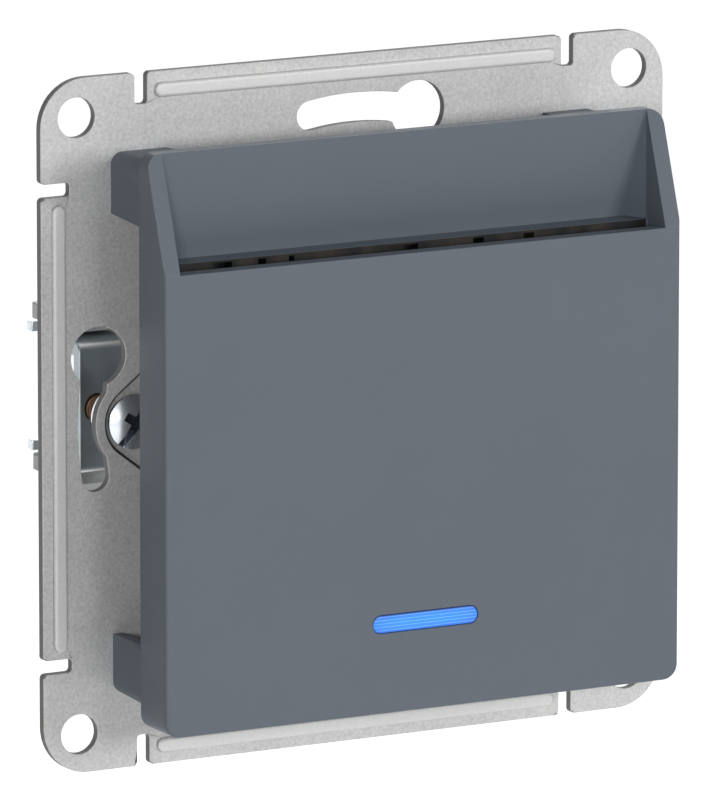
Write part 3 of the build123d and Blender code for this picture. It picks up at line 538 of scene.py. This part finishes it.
def weigh_edges(mesh, boxes, round_inside):
    """Merge a node's loose triangles and mark the outer edges that are to be rounded."""
    fold = math.radians(28.0)
    work = bmesh.new()
    work.from_mesh(mesh)
    bmesh.ops.remove_doubles(work, verts=work.verts, dist=merge_distance)
    weight = work.edges.layers.float.new("bevel_weight_edge")
    for edge in work.edges:
        if len(edge.link_faces) != 2 or edge.calc_face_angle_signed() < fold:
            continue
        middle = (edge.verts[0].co + edge.verts[1].co) / (2.0 * mm)
        inside = any(
            all(low[i] <= middle[i] <= high[i] for i in range(3)) for low, high in boxes
        )
        edge[weight] = 1.0 if inside == round_inside else 0.0
    work.to_mesh(mesh)
    work.free()


def keep_within(mesh, outer):
    """Bring a mesh's corners back inside the box of another."""
    corners = [vertex.co for vertex in outer.vertices]
    low = [min(corner[i] for corner in corners) for i in range(3)]
    high = [max(corner[i] for corner in corners) for i in range(3)]
    for vertex in mesh.vertices:
        vertex.co = [min(max(vertex.co[i], low[i]), high[i]) for i in range(3)]


def rounded_node(node, width, boxes, round_inside):
    """Show the node with its outer edges rounded, in place of the plain solid.

    The boxes, each given as (low, high) corners in mm, hold the edges that stay sharp,
    or with round_inside the only edges that are rounded.
    """
    mesh = nodes[node].data.copy()
    weigh_edges(mesh, boxes, round_inside)
    soften(mesh, 14.0)
    holder = in_scene("holder", mesh)
    bevel = holder.modifiers.new("edges", "BEVEL")
    bevel.width = width * mm
    bevel.segments = 2
    bevel.limit_method = "WEIGHT"
    bevel.use_clamp_overlap = False
    bevel.miter_outer = "MITER_SHARP"
    level = holder.modifiers.new("level", "WEIGHTED_NORMAL")
    level.weight = 100
    level.keep_sharp = True
    smooth = baked(holder, node)
    bpy.data.objects.remove(holder)
    keep_within(smooth, nodes[node].data)
    piece = new_piece(f"{node}_shown", smooth, node)
    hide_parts(node)


def turned(profile, centre_x):
    """Closed mesh turned about the forward axis, from (radius, forward) points in mm."""
    work = bmesh.new()
    ring = [work.verts.new(Vector((radius, -forward, 0.0)) * mm) for radius, forward in profile]
    edges = [work.edges.new(pair) for pair in zip(ring, ring[1:])]
    bmesh.ops.spin(
        work,
        geom=ring + edges,
        cent=(0, 0, 0),
        axis=(0, 1, 0),
        angle=math.tau,
        steps=72,
        use_merge=True,
    )
    bmesh.ops.remove_doubles(work, verts=work.verts, dist=0.001 * mm)
    bmesh.ops.translate(work, verts=work.verts, vec=(centre_x * mm, 0, 0))
    return closed_mesh(work, "turned")


def recess_cutter(centre_x, top, depth, turn, half_top, half_bottom):
    """Tapered bar that cuts one arm of the recess; halves are (length, width) in mm."""
    work = bmesh.new()
    rings = []
    for forward, (length, width) in ((top, half_top), (top - depth, half_bottom)):
        ring = []
        for along_sign, across_sign in ((-1, -1), (1, -1), (1, 1), (-1, 1)):
            along = along_sign * length
            across = across_sign * width
            x = along * math.cos(turn) - across * math.sin(turn)
            z = along * math.sin(turn) + across * math.cos(turn)
            ring.append(work.verts.new(Vector((centre_x + x, -forward, z)) * mm))
        rings.append(ring)
        work.faces.new(ring)
    upper, lower = rings
    for i in range(4):
        j = (i + 1) % 4
        work.faces.new((upper[i], upper[j], lower[j], lower[i]))
    return closed_mesh(work, "recess")


def grown(mesh, tree, sizes, name):
    """Run a node tree on a mesh, with its inputs set by name, and return the plain mesh."""
    holder = in_scene("holder", mesh)
    step = holder.modifiers.new("grow", "NODES")
    step.node_group = tree
    for item in tree.interface.items_tree:
        if item.in_out == "INPUT" and item.name in sizes:
            step[item.identifier] = sizes[item.name]
    result = baked(holder, name)
    holder.modifiers.remove(step)
    bpy.data.objects.remove(holder)
    return result


class Growth(NodeTree):
    """A Geometry Nodes tree that is being made, with named inputs for its sizes."""

    def __init__(self, name, sizes):
        super().__init__(bpy.data.node_groups.new(name, "GeometryNodeTree"))
        interface = self.tree.interface
        interface.new_socket("Geometry", in_out="INPUT", socket_type="NodeSocketGeometry")
        for size, kind in sizes.items():
            interface.new_socket(size, in_out="INPUT", socket_type=f"NodeSocket{kind}")
        interface.new_socket("Geometry", in_out="OUTPUT", socket_type="NodeSocketGeometry")
        self.start = self.tree.nodes.new("NodeGroupInput")

    def given(self, name):
        """One of the tree's inputs."""
        return Wire(self, self.start.outputs[name])

    def close(self, geometry, material):
        """End the tree: instances made real, one finish, one output."""
        real = self.add("GeometryNodeRealizeInstances", None, {0: geometry})
        dressed = self.add(
            "GeometryNodeSetMaterial", None, {"Geometry": real, "Material": material}
        )
        self.add("NodeGroupOutput", None, {0: dressed})
        return self.tree


def thread_tree(material):
    """Rolled thread wound round a shank that runs back from its start, added to the mesh."""
    sizes = {"Radius": "Float", "Crest": "Float", "Length": "Float", "Turns": "Float"}
    made = Growth("rolled_thread", {**sizes, "Start": "Vector"})
    helix = made.add(
        "GeometryNodeCurveSpiral",
        None,
        {
            "Resolution": 20,
            "Rotations": made.given("Turns"),
            "Start Radius": made.given("Radius"),
            "End Radius": made.given("Radius"),
            "Height": made.given("Length"),
        },
    )
    crest = made.add(
        "GeometryNodeCurvePrimitiveCircle", None, {"Resolution": 6, "Radius": made.given("Crest")}
    )
    ridge = made.add(
        "GeometryNodeCurveToMesh",
        None,
        {"Curve": helix, "Profile Curve": crest, "Fill Caps": True},
    )
    placed = made.add(
        "GeometryNodeTransform",
        None,
        {
            "Geometry": ridge,
            "Rotation": (-math.pi / 2, 0.0, 0.0),
            "Translation": made.given("Start"),
        },
    )
    both = made.add("GeometryNodeJoinGeometry", None, {0: [placed, made.given("Geometry")]})
    return made.close(both, material)


def rib_tree(material):
    """Parallel round bars on a window with round ends, each as long as its height allows."""
    sizes = {"Pitch": "Float", "Thickness": "Float", "Straight": "Float", "End Radius": "Float"}
    made = Growth("window_ribs", {"Count": "Int", **sizes, "Middle": "Vector"})
    step = made.add("ShaderNodeCombineXYZ", None, {"Z": made.given("Pitch")})
    line = made.add(
        "GeometryNodeMeshLine", {"mode": "OFFSET"}, {"Count": made.given("Count"), "Offset": step}
    )
    lowest = (made.given("Count") - 1.0) * -0.5 * made.given("Pitch")
    down = made.add("ShaderNodeCombineXYZ", None, {"Z": lowest})
    centred = made.add("GeometryNodeTransform", None, {"Geometry": line, "Translation": down})
    position = made.add("GeometryNodeInputPosition")
    height = made.add("ShaderNodeSeparateXYZ", None, {0: position}, output="Z")
    end_radius = made.given("End Radius")
    round_end = (end_radius * end_radius - height * height).root()
    length = made.given("Straight") + round_end * 2.0
    bar = made.add(
        "GeometryNodeMeshCylinder",
        None,
        {"Vertices": 16, "Radius": made.given("Thickness"), "Depth": 1.0},
    )
    lying = made.add(
        "GeometryNodeTransform", None, {"Geometry": bar, "Rotation": (0.0, math.pi / 2, 0.0)}
    )
    stretch = made.add("ShaderNodeCombineXYZ", None, {"X": length, "Y": 1.0, "Z": 1.0})
    bars = made.add(
        "GeometryNodeInstanceOnPoints",
        None,
        {"Points": centred, "Instance": lying, "Scale": stretch},
    )
    placed = made.add(
        "GeometryNodeTransform", None, {"Geometry": bars, "Translation": made.given("Middle")}
    )
    return made.close(placed, material)


def screw_blank(centre_x):
    """The claw screw without recess and thread: domed head on its ball seat, and shank."""
    dome_points = 10
    dome = []
    for i in range(dome_points + 1):
        radius = head_radius * i / dome_points
        dome.append((radius, head_top - dome_radius + math.sqrt(dome_radius**2 - radius**2)))
    seat = [
        (radius, seat_centre - math.sqrt(seat_radius**2 - radius**2))
        for radius in (head_radius, 2.5, 2.2, 1.9, 1.6, shank_radius)
    ]
    shank = [(shank_radius, screw_end + tip_length), (tip_radius, screw_end), (0.0, screw_end)]
    return turned(dome + seat + shank, centre_x)


def with_recess(mesh, centre_x):
    """The screw's mesh with the driver recess cut into its head."""
    above_head = 0.2
    holder = in_scene("holder", mesh)
    cutters = []
    for turn, depth, half_top, half_bottom in recess_arms:
        bar = recess_cutter(
            centre_x,
            head_top + above_head,
            depth + above_head,
            math.radians(turn),
            half_top,
            half_bottom,
        )
        cutters.append(in_scene("cutter", bar))
        cut = holder.modifiers.new("recess", "BOOLEAN")
        cut.operation = "DIFFERENCE"
        cut.solver = "EXACT"
        cut.object = cutters[-1]
    head = baked(holder, "head")
    for helper in (holder, *cutters):
        bpy.data.objects.remove(helper)
    return head


def claw_screw(side, centre_x, threads, material):
    """Show one claw screw whole, in place of its plain solid."""
    whole = grown(
        with_recess(screw_blank(centre_x), centre_x),
        threads,
        {
            "Radius": 1.30 * mm,
            "Crest": 0.15 * mm,
            "Length": 12.6 * mm,
            "Turns": 18.0,
            "Start": (centre_x * mm, 1.0 * mm, 0.0),
        },
        f"claw_screw_{side}",
    )
    soften(whole, 35.0)
    screw = new_piece(f"claw_screw_{side}_shown", whole, f"claw_screw_{side}", material)
    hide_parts(f"claw_screw_{side}")


def window_ribs():
    """Fine ribs along the blue window, half sunk in the lens."""
    ribs = grown(
        bpy.data.meshes.new("ribs"),
        rib_tree(finishes["blue_window"]),
        {
            "Count": 5,
            "Pitch": 0.34 * mm,
            "Thickness": 0.14 * mm,
            "Straight": 9.9 * mm,
            "End Radius": 0.93 * mm,
            "Middle": (0.0, -rib_forward * mm, window_z * mm),
        },
        "window_ribs",
    )
    soften(ribs, 40.0)
    new_piece("window_ribs", ribs, "light_guide")


# Every CAD node takes its finish on its own mesh
for node in body_of_node:
    nodes[node].material_slots[0].material = finishes[slot_of_node[node]]

# Rounding of nodes in mm: width, the boxes that choose edges, and whether only those inside
lip_edge = ((-27.4, -16.0, 17.6), (27.4, -15.8, 17.7))
low_terminals = ((-17.0, 18.0, -21.6), (17.0, 22.0, -12.0))
top_terminal = ((-6.0, 18.0, 12.0), (6.0, 22.0, 21.6))
plate_middle = ((-26.0, -3.0, -21.0), (26.0, 3.0, 21.0))
rounding = {
    "front_cover": (0.12, (lip_edge,), True),
    "support_plate": (0.07, (plate_middle,), False),
    "base_housing": (0.15, (low_terminals, top_terminal), False),
    "card_guide": (0.12, (), False),
    "mechanism_cap": (0.12, (), False),
    "claw_left": (0.10, (), False),
    "claw_right": (0.10, (), False),
}
for node, (width, boxes, round_inside) in rounding.items():
    rounded_node(node, width, boxes, round_inside)

screw_finish = greased_screw()
threads = thread_tree(screw_finish)
for side, centre_x in (("left", -claw_x), ("right", claw_x)):
    claw_screw(side, centre_x, threads, screw_finish)
window_ribs()


def photo_camera():
    """The camera at the photograph's viewing angle."""
    camera = in_scene("camera", bpy.data.cameras.new("camera"))
    camera.data.lens = camera_lens
    camera.data.sensor_width = camera_sensor
    camera.data.clip_start = 0.01
    look = Vector((
        math.sin(camera_azimuth) * math.cos(camera_elevation),
        math.cos(camera_azimuth) * math.cos(camera_elevation),
        -math.sin(camera_elevation),
    ))
    right = Vector((math.cos(camera_azimuth), -math.sin(camera_azimuth), 0.0))
    up = right.cross(look)
    turn = Matrix((right, up, -look)).transposed().to_4x4()
    camera.matrix_world = Matrix.Translation(camera_place) @ turn
    return camera


def seen_directly(made):
    """1 for camera, glossy and transmission rays, and 0 for the light on the object."""
    total = made.add("ShaderNodeLightPath", output="Is Camera Ray")
    for ray in ("Is Glossy Ray", "Is Transmission Ray"):
        total = total.maths("MAXIMUM", total, made.add("ShaderNodeLightPath", output=ray))
    return total


def white_studio():
    """A world that shows white and lights the object only a little."""
    fill_light = 0.08
    world = bpy.data.worlds.new("studio")
    world.use_nodes = True
    background = world.node_tree.nodes["Background"]
    sky = NodeTree(world.node_tree)
    strength = sky.add(
        "ShaderNodeMapRange",
        None,
        {"Value": seen_directly(sky), "To Min": fill_light, "To Max": 1.0},
    )
    sky.connect(background.inputs["Color"], (1.0, 1.0, 1.0, 1.0))
    sky.connect(background.inputs["Strength"], strength)
    return world


def pale_finish():
    """The floor's matt surface, which shows white and keeps the object's shadow."""
    material = bpy.data.materials.new("pale_floor")
    material.use_nodes = True
    material.node_tree.nodes.clear()
    made = NodeTree(material.node_tree)
    matt = made.add("ShaderNodeBsdfDiffuse", None, {"Color": (0.82, 0.82, 0.82, 1.0)})
    white = made.add(
        "ShaderNodeEmission",
        None,
        {"Color": (1.0, 1.0, 1.0, 1.0), "Strength": seen_directly(made)},
    )
    both = made.add("ShaderNodeAddShader", None, {0: matt, 1: white})
    made.add("ShaderNodeOutputMaterial", None, {"Surface": both})
    return material


def pale_floor():
    """A wide plain floor below the object."""
    half = 4.0
    height = -0.30
    corners = ((-half, -half), (half, -half), (half, half), (-half, half))
    mesh = bpy.data.meshes.new("floor")
    mesh.from_pydata([(x, y, height) for x, y in corners], [], [(0, 1, 2, 3)])
    mesh.materials.append(pale_finish())
    floor = in_scene("floor", mesh)


def lamp(name, place, side, power):
    """Soft square lamp that faces the middle of the object."""
    light = bpy.data.lights.new(name, "AREA")
    light.size = side
    light.energy = power
    holder = in_scene(name, light)
    holder.location = place
    holder.rotation_euler = (-place).to_track_quat("-Z", "Y").to_euler()


# Stage, with each lamp's place and side in metres and its power in watts
bpy.context.scene.camera = photo_camera()
bpy.context.scene.world = white_studio()
pale_floor()
lamps = {
    "front": ((0.00, -1.08, 0.25), 0.20, 1.2),
    "side": ((-0.60, -0.92, 0.16), 0.20, 3.2),
    "right": ((0.45, -0.93, 0.25), 0.30, 3.6),
    "back": ((0.40, 0.80, 0.50), 0.60, 4.5),
    "back_low": ((-0.12, 1.00, -0.15), 0.50, 2.5),
}
for name, (place, side, power) in lamps.items():
    lamp(name, Vector(place), side, power)

bpy.context.scene.view_settings.view_transform = "Standard"
